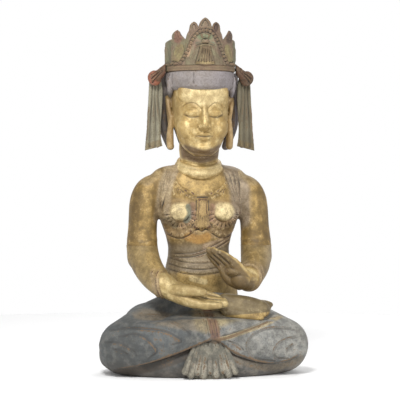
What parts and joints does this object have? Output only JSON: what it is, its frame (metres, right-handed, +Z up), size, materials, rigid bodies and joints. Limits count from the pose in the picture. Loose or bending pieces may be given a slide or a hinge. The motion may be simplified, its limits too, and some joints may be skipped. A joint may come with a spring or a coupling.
{
  "type": "seated buddha statue",
  "caption": "Crowned seated figure with folded legs, hanging ribbons and open hands, in gilded and painted carved wood, with a lift-off crown and a sealed chamber in its back.",
  "frame": {"origin": "middle of the footprint on the surface that the statue stands on", "axes": "+Z up, -Y the way the figure faces, +X towards the figure's left hand"},
  "size_m": [0.4774, 0.3003, 0.8],
  "materials": {
    "gold_leaf": "worn gold leaf on carved wood",
    "robe_paint": "chipped grey-blue paint on carved wood",
    "crown_paint": "faded paint and gilding on carved wood",
    "hair_paint": "faded blue-grey paint on carved wood",
    "ribbon_paint": "faded grey-green paint on carved wood",
    "bow_paint": "faded red paint on carved wood",
    "bare_wood": "old bare wood",
    "iron": "rusty wrought iron"
  },
  "bodies": {
    "statue": {"torso_block": "gold_leaf", "lap_block": "robe_paint", "right_hip_block": "robe_paint", "left_hip_block": "robe_paint", "base_board": "bare_wood", "base_nails": "iron", "drape_fan": "robe_paint", "hem_pegs": "bare_wood", "right_foot": "gold_leaf", "foot_peg": "bare_wood", "right_upper_arm": "gold_leaf", "left_upper_arm": "gold_leaf", "shoulder_dowels": "bare_wood", "right_forearm": "gold_leaf", "left_forearm": "gold_leaf", "elbow_dowels": "bare_wood", "lap_dowels": "bare_wood", "hip_dowels": "bare_wood", "head_block": "gold_leaf", "neck_pin": "bare_wood", "neck_collar": "gold_leaf", "topknot": "hair_paint", "topknot_dowel": "bare_wood"},
    "crown": {"crown_band": "crown_paint", "crown_front_leaf": "crown_paint", "right_crown_side_leaf": "crown_paint", "left_crown_side_leaf": "crown_paint", "right_crown_rear_leaf": "crown_paint", "left_crown_rear_leaf": "crown_paint", "crown_pegs": "bare_wood", "right_bow": "bow_paint", "left_bow": "bow_paint", "bow_pegs": "bare_wood", "right_ribbon": "ribbon_paint", "left_ribbon": "ribbon_paint"},
    "back_cover": {"back_cover": "gold_leaf"},
    "right_hand": {"right_hand": "gold_leaf"},
    "left_hand": {"left_hand": "gold_leaf"}
  },
  "joints": [
    {"name": "crown_lift", "type": "slide", "parent": "statue", "child": "crown", "axis": [0, 0, 1], "range_m": [0, 0.25]},
    {"name": "back_cover_pull", "type": "slide", "parent": "statue", "child": "back_cover", "axis": [0, 1, 0], "range_m": [0, 0.06]},
    {"name": "right_hand_pull", "type": "slide", "parent": "statue", "child": "right_hand", "axis": [0.8521, -0.5012, 0.1504], "range_m": [0, 0.03]},
    {"name": "left_hand_pull", "type": "slide", "parent": "statue", "child": "left_hand", "axis": [-0.4191, -0.908, 0], "range_m": [0, 0.03]}
  ]
}
